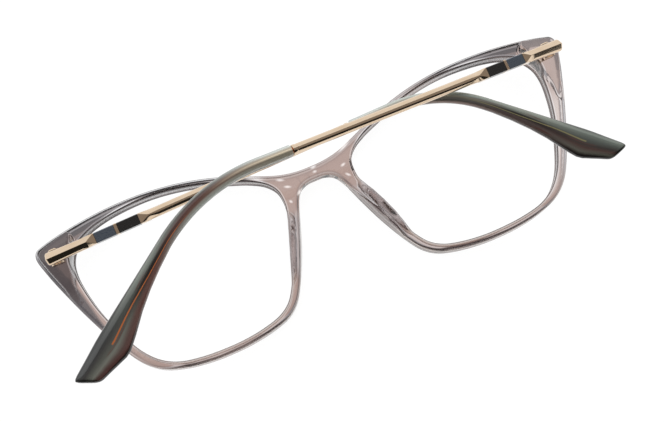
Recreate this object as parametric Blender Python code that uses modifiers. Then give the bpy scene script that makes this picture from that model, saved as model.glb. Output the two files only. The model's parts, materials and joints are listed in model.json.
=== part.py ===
# Cat-eye eyeglasses, folded, with separate front, lenses, hinges and arms.
# Metres, +Z up. The folded glasses lie front down: X runs across the front towards the
# wearer's left, +Y towards the wearer's chin and +Z back towards the wearer.

import math

import bmesh
import bpy
from mathutils import Matrix, Vector

MM = 0.001

# Front, in the front's own frame: x across, y back towards the wearer, z up
FRONT_DEPTH = 4.0 * MM
FRONT_EDGE = 0.5 * MM
FACE_CURVE = 0.95               # rear face lies at y = FACE_CURVE * x * x, in metres
LOOP_STEPS = 3                  # points between two outline points

GROOVE_DEPTH = 0.6 * MM
LENS_GAP = 0.35 * MM
LENS_EDGE = 0.6 * MM            # half the lens thickness at its bevelled edge
LENS_DOME = 1.3 * MM

BOSS_REAR = 7.4 * MM            # rear face of the end piece's raised land
BOSS_SUNK = 1.6 * MM            # how far the land reaches into the front

# Hinges: the axis leans back from the front's plane by the pantoscopic angle
PANTOSCOPIC = math.radians(11.2)
AXIS_X = 63.9 * MM
AXIS_Y = 9.0 * MM
AXIS_Z = 13.35 * MM
TURN_STEPS = 20                 # facets round a turned piece
KNUCKLE_RADIUS = 1.5 * MM
KNUCKLE_BORE = 0.75 * MM
KNUCKLE_GAP = 0.1 * MM
INNER_KNUCKLE = 1.3 * MM        # height of the arm's knuckle
OUTER_KNUCKLE = 0.8 * MM        # height of each of the front's two knuckles
SCREW_RADIUS = 0.68 * MM
SCREW_HEAD = 1.2 * MM
HEAD_HEIGHT = 0.6 * MM
BLOCK_HALF = 1.6 * MM           # half height of the hinge's block in the front
FOLD = {"left": math.radians(3.4), "right": math.radians(17.0)}

# Arms: u runs along the arm from the hinge axis, v to its outer side, w up
ROD_OFFSET = 3.8 * MM           # from the hinge axis to the rod's centre line
ROD_FRONT = -1.4 * MM
ROD_TALL = 3.0 * MM
BOX_NECK = 2.7 * MM             # the box is a little lower where it meets the inlays
INLAY_TALL = 2.5 * MM
ROD_THICK = 2.6 * MM
BOX_FACET = 8.6 * MM
INLAY_START = 10.8 * MM
DIVIDER_MID = 16.1 * MM
DIVIDER_HALF = 0.35 * MM
INLAY_END = 21.7 * MM
BOX_TAPER_END = 26.3 * MM
ROD_SLIM = 2.4 * MM
ROD_TAIL = 2.2 * MM
INLAY_WALL = 0.45 * MM
INLAY_SIDE = 0.3 * MM
INLAY_GAP = 0.1 * MM
TIP_START = 74.0 * MM
CORE_RADIUS = 0.6 * MM
CORE_BORE = 0.85 * MM
CORE_LENGTH = 54.5 * MM
CORE_STEPS = 14

# Each arm is set on its hinge and each tip bent by hand, so the two sides differ a little
ARM_SET = {"left": math.radians(0.64), "right": math.radians(0.87)}
TIP_BEND = {
    "left": {"at": 96.6 * MM, "angle": math.radians(41.5), "radius": 31.1 * MM},
    "right": {"at": 96.6 * MM, "angle": math.radians(35.0), "radius": 43.2 * MM},
}
TIP_RING_GAP = 5.0              # longest stretch between two tip sections, in mm

FLOOR_TRIM = 0.2 * MM           # flat polished on the front's most forward stretch

# Half outline of the front, from the top of the bridge round to its underside
FRONT_HALF = [
    (0, 12.8), (4, 13.0), (8, 13.8), (14, 16.1), (22.2, 19.35), (30.5, 21.5), (40, 22.6),
    (50, 22.35), (60, 20.85), (66.3, 19.2), (68.5, 18.2), (69.1, 16.6), (68.1, 12.4),
    (65.6, 5.4), (61.9, -3.5), (57.5, -12.5), (54.6, -16.7), (51.2, -19.4), (46, -21.2),
    (40, -22.1), (35, -22.25), (30.5, -22.05), (24.5, -21.15), (19.6, -19.6), (16.6, -17.3),
    (14.3, -13.9), (10.8, -6.9), (8.0, 0.2), (5.9, 6.0), (4.4, 8.3), (2.4, 9.25), (0, 9.4),
]

# Lens opening of one rim, all the way round
OPENING = [
    (9.6, 7.4), (10.2, 2.6), (11.8, -3.0), (14.0, -8.6), (16.7, -13.9), (18.7, -16.6),
    (21.6, -18.5), (26, -19.75), (31, -20.45), (36, -20.6), (42, -20.25), (47.2, -19.2),
    (51, -17.1), (54.2, -13.5), (57.2, -7.6), (59.8, -0.9), (61.2, 4.9), (61.75, 9.6),
    (61.3, 13.0), (59.6, 15.9), (56, 18.3), (51.2, 19.9), (45, 20.8), (39, 21.0),
    (33, 20.4), (26.5, 19.0), (20.5, 17.0), (15.4, 15.0), (12.0, 12.9), (10.1, 10.4),
]

# Raised land of the end piece that carries the hinge
BOSS = [
    (59.6, 19.3), (62.0, 18.8), (65.6, 17.8), (67.4, 17.0), (68.1, 15.8), (67.3, 12.4),
    (65.2, 6.2), (64.3, 3.0), (63.6, 2.1), (62.9, 2.9), (62.6, 6.5), (61.9, 9.6),
    (61.0, 12.4), (60.0, 15.6), (59.0, 17.9),
]


def clear_scene():
    for obj in list(bpy.data.objects):
        bpy.data.objects.remove(obj, do_unlink=True)
    for group in list(bpy.data.collections):
        bpy.data.collections.remove(group)


def new_collection(name):
    group = bpy.data.collections.new(name)
    bpy.context.scene.collection.children.link(group)
    return group


clear_scene()
parts = new_collection("eyeglasses")
cutters = new_collection("cutters")


def make_material(name, colour, roughness, metallic=0.0, transmission=0.0):
    material = bpy.data.materials.new(name)
    material.use_nodes = True
    shader = material.node_tree.nodes["Principled BSDF"]
    shader.inputs["Base Color"].default_value = (*colour, 1.0)
    shader.inputs["Roughness"].default_value = roughness
    shader.inputs["Metallic"].default_value = metallic
    shader.inputs["Transmission Weight"].default_value = transmission
    material.diffuse_color = (*colour, 1.0)
    return material


def acetate(name):
    return make_material(name, (0.50, 0.42, 0.40), 0.12, transmission=0.5)


def gold(name):
    return make_material(name, (0.80, 0.68, 0.50), 0.15, metallic=1.0)


def link(obj, collection, material=None, parent=None):
    collection.objects.link(obj)
    if material:
        obj.data.materials.append(material)
    if parent:
        obj.parent = parent
    if collection is cutters:
        obj.hide_render = True
        obj.display_type = "WIRE"
    return obj


def object_from(name, bm):
    bm.normal_update()
    bmesh.ops.recalc_face_normals(bm, faces=bm.faces)
    mesh = bpy.data.meshes.new(name)
    bm.to_mesh(mesh)
    bm.free()
    mesh.shade_smooth()
    mesh.set_sharp_from_angle(angle=math.radians(35))
    return bpy.data.objects.new(name, mesh)


def empty(name, matrix, parent=None):
    obj = bpy.data.objects.new(name, None)
    obj.empty_display_size = 5 * MM
    parts.objects.link(obj)
    obj.parent = parent
    obj.matrix_local = matrix
    return obj


def cut(obj, cutter, operation="DIFFERENCE"):
    modifier = obj.modifiers.new(cutter.name, "BOOLEAN")
    modifier.operation = operation
    modifier.object = cutter
    modifier.solver = "EXACT"


def mirrored(points, side):
    return [(side * x, z) for x, z in points]


def smooth_loop(points, steps=LOOP_STEPS):
    # Closed curve through the points, with the knots spaced by the root of their distance
    knots = [Vector((x * MM, z * MM)) for x, z in points]
    loop = []
    count = len(knots)
    for i in range(count):
        a, b, c, d = (knots[(i + k) % count] for k in (-1, 0, 1, 2))
        ta = 0.0
        tb = ta + (b - a).length ** 0.5
        tc = tb + (c - b).length ** 0.5
        td = tc + (d - c).length ** 0.5
        for step in range(steps):
            t = tb + (tc - tb) * step / steps
            ab = a * (tb - t) / (tb - ta) + b * (t - ta) / (tb - ta)
            bc = b * (tc - t) / (tc - tb) + c * (t - tb) / (tc - tb)
            cd = c * (td - t) / (td - tc) + d * (t - tc) / (td - tc)
            abc = ab * (tc - t) / (tc - ta) + bc * (t - ta) / (tc - ta)
            bcd = bc * (td - t) / (td - tb) + cd * (t - tb) / (td - tb)
            loop.append(abc * (tc - t) / (tc - tb) + bcd * (t - tb) / (tc - tb))
    return loop


def area(loop):
    total = 0.0
    for a, b in zip(loop, loop[1:] + loop[:1]):
        total += a.x * b.y - b.x * a.y
    return total / 2


def offset_loop(loop, distance):
    # Moves each point outwards along the loop's normal
    if area(loop) < 0:
        loop = loop[::-1]
    result = []
    for before, here, after in zip(loop[-1:] + loop[:-1], loop, loop[1:] + loop[:1]):
        along = (after - before).normalized()
        result.append(here + Vector((along.y, -along.x)) * distance)
    return result


def plate(name, loops, depth, edge, place, collection, material=None, parent=None):
    # A filled flat outline with rounded edges; place turns (x, height, depth) into a point
    curve = bpy.data.curves.new(name, "CURVE")
    curve.dimensions = "2D"
    curve.fill_mode = "BOTH"
    curve.extrude = depth / 2 - edge
    curve.bevel_depth = edge
    curve.bevel_resolution = 1
    curve.offset = -edge
    for loop in loops:
        spline = curve.splines.new("POLY")
        spline.points.add(len(loop) - 1)
        for point, spot in zip(spline.points, loop):
            point.co = (spot.x, spot.y, 0.0, 1.0)
        spline.use_cyclic_u = True
    flat = bpy.data.objects.new(name + "_outline", curve)
    cutters.objects.link(flat)
    mesh = bpy.data.meshes.new_from_object(flat.evaluated_get(bpy.context.evaluated_depsgraph_get()))
    bpy.data.objects.remove(flat)
    bm = bmesh.new()
    bm.from_mesh(mesh)
    bpy.data.meshes.remove(mesh)
    bmesh.ops.remove_doubles(bm, verts=bm.verts, dist=1e-6)
    for vert in bm.verts:
        vert.co = place(vert.co)
    return link(object_from(name, bm), collection, material, parent)


def loft(name, rings, collection, material=None, parent=None):
    bm = bmesh.new()
    rows = [[bm.verts.new(point) for point in ring] for ring in rings]
    for near, far in zip(rows, rows[1:]):
        for i in range(len(near)):
            j = (i + 1) % len(near)
            bm.faces.new((near[i], near[j], far[j], far[i]))
    bm.faces.new(rows[0][::-1])
    bm.faces.new(rows[-1])
    return link(object_from(name, bm), collection, material, parent)


def box(name, low, high, collection, material=None, parent=None):
    bm = bmesh.new()
    bmesh.ops.create_cube(bm, size=1.0)
    low = Vector(low)
    high = Vector(high)
    for vert in bm.verts:
        vert.co = (low + high) / 2 + Vector(a * b for a, b in zip(vert.co, high - low))
    return link(object_from(name, bm), collection, material, parent)


def turned_solid(name, profile, collection, material=None, parent=None, closed=False):
    # Profile of (radius, height) points, turned about the hinge axis
    mesh = bpy.data.meshes.new(name)
    edges = [(i, i + 1) for i in range(len(profile) - 1)]
    if closed:
        edges.append((len(profile) - 1, 0))
    mesh.from_pydata([(r, 0, z) for r, z in profile], edges, [])
    obj = bpy.data.objects.new(name, mesh)
    screw = obj.modifiers.new("turn", "SCREW")
    screw.steps = TURN_STEPS
    screw.render_steps = TURN_STEPS
    screw.use_merge_vertices = True
    screw.merge_threshold = 0.00001
    link(obj, cutters)
    turned_mesh = bpy.data.meshes.new_from_object(
        obj.evaluated_get(bpy.context.evaluated_depsgraph_get()))
    bpy.data.objects.remove(obj)
    bm = bmesh.new()
    bm.from_mesh(turned_mesh)
    bpy.data.meshes.remove(turned_mesh)
    bmesh.ops.remove_doubles(bm, verts=bm.verts, dist=1e-6)
    return link(object_from(name, bm), collection, material, parent)


def ring_profile(low, high):
    return [(KNUCKLE_BORE, low), (KNUCKLE_BORE, high), (KNUCKLE_RADIUS, high), (KNUCKLE_RADIUS, low)]


def on_front(x, z, behind=0.0):
    # Point on the front's curved rear face, moved back by behind
    return Vector((x, FACE_CURVE * x * x + behind, z))


# Front

stand = empty("stand", Matrix.Identity(4))


def front_place(co):
    return on_front(co.x, co.y, co.z - FRONT_DEPTH / 2)


outer = smooth_loop(FRONT_HALF + mirrored(FRONT_HALF[-2:0:-1], -1), 3)
openings = {
    "left": smooth_loop(OPENING),
    "right": smooth_loop(mirrored(OPENING, -1)),
}
front = plate("front_frame", [outer, openings["left"], openings["right"]], FRONT_DEPTH,
              FRONT_EDGE, front_place, parts, acetate("acetate_front"), stand)
SIDES = (("left", 1), ("right", -1))


def boss_place(co):
    return Vector((co.x, (BOSS_REAR + BOSS_SUNK) / 2 + co.z, co.y))


def lens_ring(loop, scale, behind):
    middle = sum(loop, Vector((0.0, 0.0))) / len(loop)
    dome = LENS_DOME * (1 - scale * scale)
    ring = []
    for point in loop:
        spot = middle + (point - middle) * min(scale, 1.0)
        ring.append(on_front(spot.x, spot.y, behind - FRONT_DEPTH / 2 - dome))
    return ring


def lens(name, loop, material, collection, ridge, parent):
    # Front face from the middle out, the bevelled edge, then the rear face back in
    edge = offset_loop(loop, ridge)
    rings = [lens_ring(loop, s, -LENS_EDGE) for s in (0.3, 0.65, 1.0)]
    rings.append(lens_ring(edge, 1.0, 0.0))
    rings += [lens_ring(loop, s, LENS_EDGE) for s in (1.0, 0.65, 0.3)]
    return loft(name, rings, collection, material, parent)


def pad_ring(side, z, height, reach):
    # Cross-section of a nose pad at height z: it leans out over the lens side
    inner_x = 8.3 - 0.36 * z
    foot = on_front(side * inner_x * MM, z * MM, 0.12 * MM)
    outline = [(0.15, 0.0), (2.5, 0.0), (2.9 + reach * 0.5, 0.45), (2.9 + reach, 0.8),
               (2.3 + reach, 1.0), (1.2 + reach * 0.7, 0.85), (0.1, 0.45), (-0.15, 0.15)]
    return [foot + Vector((side * x * MM, rise * height * MM, 0.0)) for x, rise in outline]


def front_hinge(side_name, side, axis):
    # Two knuckles on a block that is set into the end piece's land
    hinge = None
    half = INNER_KNUCKLE / 2
    for number, sign in enumerate((1, -1)):
        low = min(sign * (half + KNUCKLE_GAP), sign * (half + KNUCKLE_GAP + OUTER_KNUCKLE))
        knuckle = turned_solid(f"front_knuckle_{side_name}_{number}",
                               ring_profile(low, low + OUTER_KNUCKLE), cutters, None, axis, True)
        xs = sorted((-0.65 * MM * side, 1.45 * MM * side))
        web = box(f"front_web_{side_name}_{number}", (xs[0], -2.6 * MM, low + 0.01 * MM),
                  (xs[1], -0.9 * MM, low + OUTER_KNUCKLE - 0.01 * MM), cutters, None, axis)
        if hinge is None:
            root_xs = sorted((-1.3 * MM * side, 1.5 * MM * side))
            hinge = box(f"front_hinge_{side_name}", (root_xs[0], -4.3 * MM, -BLOCK_HALF),
                        (root_xs[1], -1.9 * MM, BLOCK_HALF), parts,
                        gold(f"hinge_metal_{side_name}"), axis)
        cut(hinge, web, "UNION")
        cut(hinge, knuckle, "UNION")
    bore = turned_solid(f"hinge_bore_{side_name}", [(0, 3 * MM), (KNUCKLE_BORE, 3 * MM),
                        (KNUCKLE_BORE, -3 * MM), (0, -3 * MM)], cutters, None, axis)
    cut(hinge, bore)
    xs = sorted((-1.6 * MM * side, 1.8 * MM * side))
    pocket = box(f"hinge_pocket_{side_name}", (xs[0], -4.6 * MM, -BLOCK_HALF - 0.3 * MM),
                 (xs[1], -1.0 * MM, BLOCK_HALF + 0.3 * MM), cutters, None, axis)
    cut(front, pocket)


def hinge_screw(side_name, axis):
    top = INNER_KNUCKLE / 2 + KNUCKLE_GAP + OUTER_KNUCKLE + 0.1 * MM
    foot = -top + 0.1 * MM
    profile = [(0, top + HEAD_HEIGHT), (SCREW_HEAD - 0.3 * MM, top + HEAD_HEIGHT - 0.05 * MM),
               (SCREW_HEAD, top + HEAD_HEIGHT / 2), (SCREW_HEAD, top), (SCREW_RADIUS, top),
               (SCREW_RADIUS, foot + 0.2 * MM), (SCREW_RADIUS - 0.2 * MM, foot), (0, foot)]
    screw = turned_solid(f"hinge_screw_{side_name}", profile, parts,
                         gold(f"screw_metal_{side_name}"), axis)
    slot = box(f"screw_slot_{side_name}", (-2 * MM, -0.17 * MM, top + 0.35 * MM),
               (2 * MM, 0.17 * MM, top + 2 * MM), cutters, None, axis)
    cut(screw, slot)


def section(u, thick, tall, corner, shift=0.0):
    # Rounded rectangle across the arm at u, as (u, v, w) with v measured from the hinge axis
    points = []
    corner = min(corner, thick / 2 - 1e-6, tall / 2 - 1e-6)
    for quarter, (sv, sw) in enumerate(((1, 1), (-1, 1), (-1, -1), (1, -1))):
        for k in range(4):
            angle = math.radians(90 * quarter + 30 * k)
            v = sv * (thick / 2 - corner) + corner * math.cos(angle)
            w = sw * (tall / 2 - corner) + corner * math.sin(angle)
            points.append((u, ROD_OFFSET + shift + v, w))
    return points


def arm_points(side, points):
    return [Vector((-side * u, v, w)) for u, v, w in points]


def arm_rod(name, side, fold):
    core_thick = ROD_THICK - INLAY_WALL - INLAY_GAP
    core_tall = INLAY_TALL - 2 * (INLAY_SIDE + INLAY_GAP)
    core_shift = -(INLAY_WALL + INLAY_GAP) / 2
    sharp = 0.12 * MM

    def full(u, corner=sharp, tall=INLAY_TALL):
        return section(u, ROD_THICK, tall, corner)

    def core(u):
        return section(u, core_thick, core_tall, sharp, core_shift)

    stations = [
        section(ROD_FRONT, ROD_THICK - 0.4 * MM, ROD_TALL - 0.4 * MM, 0.5 * MM),
        full(ROD_FRONT + 0.25 * MM, 0.7 * MM, ROD_TALL),
        full(BOX_FACET, 0.7 * MM, BOX_NECK),
        section(BOX_FACET + 0.5 * MM, ROD_THICK - 0.3 * MM, BOX_NECK - 0.3 * MM, 1.1 * MM),
        full(INLAY_START - 0.3 * MM),
        full(INLAY_START),
        core(INLAY_START),
        core(DIVIDER_MID - DIVIDER_HALF),
        full(DIVIDER_MID - DIVIDER_HALF),
        full(DIVIDER_MID + DIVIDER_HALF),
        core(DIVIDER_MID + DIVIDER_HALF),
        core(INLAY_END),
        full(INLAY_END),
        full(INLAY_END + 0.3 * MM),
        section(BOX_TAPER_END, ROD_SLIM, ROD_SLIM, ROD_SLIM / 2),
        section(TIP_START - 0.3 * MM, ROD_TAIL, ROD_TAIL, ROD_TAIL / 2),
    ]
    return loft(name, [arm_points(side, s) for s in stations], parts, gold(name + "_gold"), fold)


def inlay(name, side, start, end, colour, fold):
    # A channel of enamel round the outer side, top and underside of the rod's core
    low = start + INLAY_GAP
    high = end - INLAY_GAP
    rings = [arm_points(side, section(u, ROD_THICK, INLAY_TALL, 0.12 * MM)) for u in (low, high)]
    piece = loft(name, rings, parts, make_material(name, colour, 0.08), fold)
    half = INLAY_TALL / 2 - INLAY_SIDE
    xs = sorted((-side * (low - 1 * MM), -side * (high + 1 * MM)))
    core = box(name + "_core", (xs[0], ROD_OFFSET - 3 * MM, -half),
               (xs[1], ROD_OFFSET + ROD_THICK / 2 - INLAY_WALL, half), cutters, None, fold)
    cut(piece, core)


def temple_hinge(side_name, side, fold):
    # The arm's own knuckle, with a leaf brazed along the rod's inner side
    half = INNER_KNUCKLE / 2
    leaf_xs = sorted((side * 1.1 * MM, -side * 7.2 * MM))
    leaf = box(f"temple_hinge_{side_name}",
               (leaf_xs[0], 1.75 * MM, -half), (leaf_xs[1], 2.4 * MM, half),
               parts, gold(f"temple_hinge_metal_{side_name}"), fold)
    web = box(f"temple_web_{side_name}", (-1.0 * MM, 0.9 * MM, -half + 0.01 * MM),
              (1.0 * MM, 2.1 * MM, half - 0.01 * MM), cutters, None, fold)
    knuckle = turned_solid(f"temple_knuckle_{side_name}", ring_profile(-half, half), cutters,
                           None, fold, True)
    cut(leaf, web, "UNION")
    cut(leaf, knuckle, "UNION")


def tip_line(side_name, length):
    # Point and direction on the tip's centre line, as (u, w), at a length from its start
    bend = TIP_BEND[side_name]
    radius = bend["radius"]
    straight = bend["at"] - radius * math.tan(bend["angle"] / 2) - TIP_START
    arc = radius * bend["angle"]
    if length <= straight:
        return TIP_START + length, 0.0, 0.0
    turn = min((length - straight) / radius, bend["angle"])
    u = TIP_START + straight + radius * math.sin(turn)
    w = -radius * (1 - math.cos(turn))
    beyond = max(length - straight - arc, 0.0)
    return u + beyond * math.cos(turn), w - beyond * math.sin(turn), turn


def tip_ring(side_name, side, length, low, high, thick, slant=0.0, count=16):
    # Rounded section across the tip: low and high are its edges below and above the line
    u, w, turn = tip_line(side_name, length)
    points = []
    for k in range(count):
        angle = 2 * math.pi * k / count
        across = math.sin(angle)
        across = math.copysign(abs(across) ** 0.8, across)
        outward = math.copysign(abs(math.cos(angle)) ** 0.8, math.cos(angle)) * thick / 2
        rise = (high + low) / 2 + (high - low) / 2 * across
        along = slant * (rise - high)
        du = along * math.cos(turn) + rise * math.sin(turn)
        dw = -along * math.sin(turn) + rise * math.cos(turn)
        points.append((u + du, ROD_OFFSET + outward, w + dw))
    return arm_points(side, points)


# Tip sections: length from the start, lower edge, upper edge, thickness and slant, in mm
TIP_SECTIONS = [
    (0.0, -1.2, 1.2, 2.3, 0.0), (0.3, -1.35, 1.35, 2.5, 0.0), (12.0, -1.35, 1.35, 2.5, 0.0),
    (24.0, -1.4, 1.4, 2.6, 0.0), (35.6, -1.5, 1.4, 2.7, 0.0), (40.6, -1.9, 1.4, 2.7, 0.0),
    (45.1, -2.5, 1.4, 2.7, 0.0), (49.6, -3.4, 1.4, 2.7, 0.0), (54.2, -4.7, 1.4, 2.7, 0.0),
    (57.6, -5.45, 1.4, 2.7, 0.0), (59.5, -5.4, 1.35, 2.65, 0.1), (63.0, -4.75, 1.15, 2.6, 0.3),
    (66.9, -4.0, 0.95, 2.4, 0.58), (67.7, -3.6, 0.7, 1.9, 0.58),
]


def tip_rows():
    # The sections, with more of them in between where they lie far apart, to follow the bend
    rows = [TIP_SECTIONS[0]]
    for here, after in zip(TIP_SECTIONS, TIP_SECTIONS[1:]):
        count = math.ceil((after[0] - here[0]) / TIP_RING_GAP)
        for k in range(1, count + 1):
            share = k / count
            rows.append([a + (b - a) * share for a, b in zip(here, after)])
    return rows


def temple_tip(side_name, side, fold):
    name = f"temple_tip_{side_name}"
    rings = [tip_ring(side_name, side, length * MM, low * MM, high * MM, thick * MM, slant)
             for length, low, high, thick, slant in tip_rows()]
    tip = loft(name, rings, parts, make_material(name, (0.12, 0.13, 0.11), 0.12), fold)
    bore = core_tube(f"tip_bore_{side_name}", side_name, side, -1.0 * MM, CORE_LENGTH + 0.4 * MM,
                     CORE_BORE, cutters, None, fold)
    cut(tip, bore)
    core_tube(f"core_wire_{side_name}", side_name, side, 0.1 * MM, CORE_LENGTH, CORE_RADIUS,
              parts, gold(f"core_metal_{side_name}"), fold)


def core_tube(name, side_name, side, start, end, radius, collection, material, fold):
    rings = []
    for k in range(CORE_STEPS + 1):
        length = start + (end - start) * k / CORE_STEPS
        rings.append(tip_ring(side_name, side, length, -radius, radius, 2 * radius, 0.0, 8))
    return loft(name, rings, collection, material, fold)


for side_name, side in SIDES:
    boss = plate(f"end_land_{side_name}", [smooth_loop(mirrored(BOSS, side), 3)],
                 BOSS_REAR - BOSS_SUNK, 0.5 * MM, boss_place, cutters, None, stand)
    cut(front, boss, "UNION")
    groove = lens(f"lens_groove_{side_name}", offset_loop(openings[side_name], -0.05 * MM),
                  None, cutters, GROOVE_DEPTH, stand)
    cut(front, groove)
    lens(f"lens_{side_name}", offset_loop(openings[side_name], -LENS_GAP),
         make_material(f"lens_{side_name}", (0.95, 0.96, 0.97), 0.02, transmission=1.0), parts,
         GROOVE_DEPTH, stand)

    pad_rows = [(4.2, 0.5, 0.0), (2.6, 1.9, 0.1), (0.0, 3.4, 0.4), (-3.5, 4.3, 0.7),
                (-7.0, 4.0, 0.7), (-10.0, 2.6, 0.4), (-12.2, 0.7, 0.1)]
    loft(f"nose_pad_{side_name}", [pad_ring(side, *row) for row in pad_rows], parts,
         acetate(f"acetate_pad_{side_name}"), stand)

    axis = empty(f"{side_name}_hinge_axis",
                 Matrix.Translation((side * AXIS_X, AXIS_Y, AXIS_Z))
                 @ Matrix.Rotation(-PANTOSCOPIC, 4, "X"), stand)
    front_hinge(side_name, side, axis)
    hinge_screw(side_name, axis)

    fold = empty(f"{side_name}_arm", Matrix.Rotation(-side * FOLD[side_name], 4, "Z"), axis)
    temple_hinge(side_name, side, fold)
    arm = empty(f"{side_name}_rod_line", Matrix.Rotation(ARM_SET[side_name], 4, "Y"), fold)
    arm_rod(f"temple_rod_{side_name}", side, arm)
    inlay(f"inlay_blue_{side_name}", side, INLAY_START, DIVIDER_MID - DIVIDER_HALF,
          (0.06, 0.07, 0.09), arm)
    inlay(f"inlay_black_{side_name}", side, DIVIDER_MID + DIVIDER_HALF, INLAY_END,
          (0.01, 0.01, 0.011), arm)
    temple_tip(side_name, side, arm)


# Laid front down: the front's own y points up, and the flat of its front face is the floor.
# The origin is the middle of the folded glasses' footprint.

def footprint_middle(turn):
    bpy.context.view_layer.update()
    spots = [turn @ obj.matrix_world @ vert.co
             for obj in parts.objects if obj.type == "MESH" for vert in obj.data.vertices]
    xs = [spot.x for spot in spots]
    ys = [spot.y for spot in spots]
    return (min(xs) + max(xs)) / 2, (min(ys) + max(ys)) / 2


lie_down = Matrix.Rotation(math.radians(90), 4, "X")
middle_x, middle_y = footprint_middle(lie_down)
stand.matrix_local = Matrix.Translation((-middle_x, -middle_y, FRONT_DEPTH - FLOOR_TRIM)) @ lie_down
cut(front, box("floor_flat", (-0.1, -0.1, -0.01), (0.1, 0.1, 0.0), cutters))
bpy.context.view_layer.update()
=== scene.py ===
import bisect
import json
import math

import bmesh
import bpy
import numpy as np
from mathutils import Matrix, Vector, geometry


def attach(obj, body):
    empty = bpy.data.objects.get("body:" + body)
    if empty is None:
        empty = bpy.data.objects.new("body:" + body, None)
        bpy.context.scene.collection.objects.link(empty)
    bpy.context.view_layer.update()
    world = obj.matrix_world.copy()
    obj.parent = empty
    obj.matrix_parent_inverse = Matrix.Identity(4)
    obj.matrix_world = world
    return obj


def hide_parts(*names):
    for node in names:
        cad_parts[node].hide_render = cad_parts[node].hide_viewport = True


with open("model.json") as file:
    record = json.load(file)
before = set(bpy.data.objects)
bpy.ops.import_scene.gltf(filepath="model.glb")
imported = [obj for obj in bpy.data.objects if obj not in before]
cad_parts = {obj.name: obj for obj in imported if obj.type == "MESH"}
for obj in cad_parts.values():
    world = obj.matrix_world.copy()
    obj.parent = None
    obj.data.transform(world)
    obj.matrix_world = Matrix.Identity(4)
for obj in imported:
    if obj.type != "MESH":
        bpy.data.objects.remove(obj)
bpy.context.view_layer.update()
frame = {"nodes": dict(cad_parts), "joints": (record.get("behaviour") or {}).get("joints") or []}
mm = 0.001
sides = (("left", 1), ("right", -1))
print("frame loaded")


# places
# the front's own frame is x across, y back towards the wearer and z up
hingePlace = {
    "out": 63.9, "back": 9.0, "up": 13.35, "lean": 11.2,
    "left": {"fold": 3.4, "set": 0.64}, "right": {"fold": 17.0, "set": 0.87},
}

pins = {joint["name"]: Vector(joint["pos_m"]) for joint in frame["joints"]}
between = (pins["left_temple_fold"] + pins["right_temple_fold"]) / 2
layDown = Matrix.Rotation(math.radians(90), 4, "X")
frontMatrix = Matrix.Translation(
    between - layDown @ Vector((0, hingePlace["back"] * mm, hingePlace["up"] * mm))) @ layDown


def armMatrix(sideName, side):
    pin = Vector((side * hingePlace["out"], hingePlace["back"], hingePlace["up"])) * mm
    lean = Matrix.Rotation(-math.radians(hingePlace["lean"]), 4, "X")
    fold = Matrix.Rotation(-side * math.radians(hingePlace[sideName]["fold"]), 4, "Z")
    bent = Matrix.Rotation(math.radians(hingePlace[sideName]["set"]), 4, "Y")
    return frontMatrix @ Matrix.Translation(pin) @ lean @ fold @ bent


# shader helpers

class Wire:                      # a node's output that can stand in an expression
    def __init__(self, maker, socket):
        self.maker = maker
        self.socket = socket

    def maths(self, operation, first, second):
        return self.maker.node("ShaderNodeMath", {"operation": operation}, {0: first, 1: second})

    def __add__(self, other):
        return self.maths("ADD", self, other)

    def __radd__(self, other):
        return self.maths("ADD", other, self)

    def __sub__(self, other):
        return self.maths("SUBTRACT", self, other)

    def __rsub__(self, other):
        return self.maths("SUBTRACT", other, self)

    def __mul__(self, other):
        return self.maths("MULTIPLY", self, other)

    def __rmul__(self, other):
        return self.maths("MULTIPLY", other, self)

    def __truediv__(self, other):
        return self.maths("DIVIDE", self, other)

    def __abs__(self):
        return self.maker.node("ShaderNodeMath", {"operation": "ABSOLUTE"}, {0: self})


class Finish:                    # builds one node tree
    def __init__(self, tree):
        self.tree = tree
        tree.nodes.clear()

    def node(self, kind, settings=None, inputs=None, output=0):
        made = self.tree.nodes.new(kind)
        for key, value in (settings or {}).items():
            if key == "stops":
                self.setStops(made.color_ramp, value)
            else:
                setattr(made, key, value)
        for key, value in (inputs or {}).items():
            if isinstance(value, Wire):
                self.tree.links.new(value.socket, made.inputs[key])
            else:
                made.inputs[key].default_value = value
        return Wire(self, made.outputs[output]) if made.outputs else made

    def setStops(self, ramp, stops):
        while len(ramp.elements) < len(stops):
            ramp.elements.new(0.5)
        for element, (place, tone) in zip(ramp.elements, stops):
            element.position = place
            element.color = (*tone, 1.0) if len(tone) == 3 else tone

    def blend(self, share, first, second):
        return self.node("ShaderNodeMix", {"data_type": "RGBA"}, {0: share, 6: first, 7: second}, 2)

    def smooth(self, value, low, high):
        return self.node("ShaderNodeMapRange", {"interpolation_type": "SMOOTHSTEP"},
                         {"Value": value, "From Min": low, "From Max": high})

    def ramp(self, value, stops):
        return self.node("ShaderNodeValToRGB", {"stops": stops}, {0: value})

    def apart(self, vector, axis):
        return self.node("ShaderNodeSeparateXYZ", None, {0: vector}, axis)

    def spot(self):              # where a point lies at rest
        return self.node("ShaderNodeTexCoord", None, None, 3)

    def kept(self, name):        # what the mesh keeps with its points
        return self.node("ShaderNodeAttribute", {"attribute_name": name}, None, 1)

    def noise(self, vector, scale, **more):
        return self.node("ShaderNodeTexNoise", None, {"Vector": vector, "Scale": scale, **more})

    def surface(self, shader):
        self.node("ShaderNodeOutputMaterial", None, {0: shader})


def newFinish(name):
    material = bpy.data.materials.new(name)
    material.use_nodes = True
    return material, Finish(material.node_tree)


def colour(red, green, blue):    # from the 0 to 255 that a screen shows
    linear = [((c / 255 + 0.055) / 1.055) ** 2.4 if c > 10 else c / 3295 for c in (red, green, blue)]
    return (*linear, 1.0)


def tones(*stops):               # each stop is its place, then its red, green and blue
    return [(place, colour(*shade)) for place, *shade in stops]


# shape helpers

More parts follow.
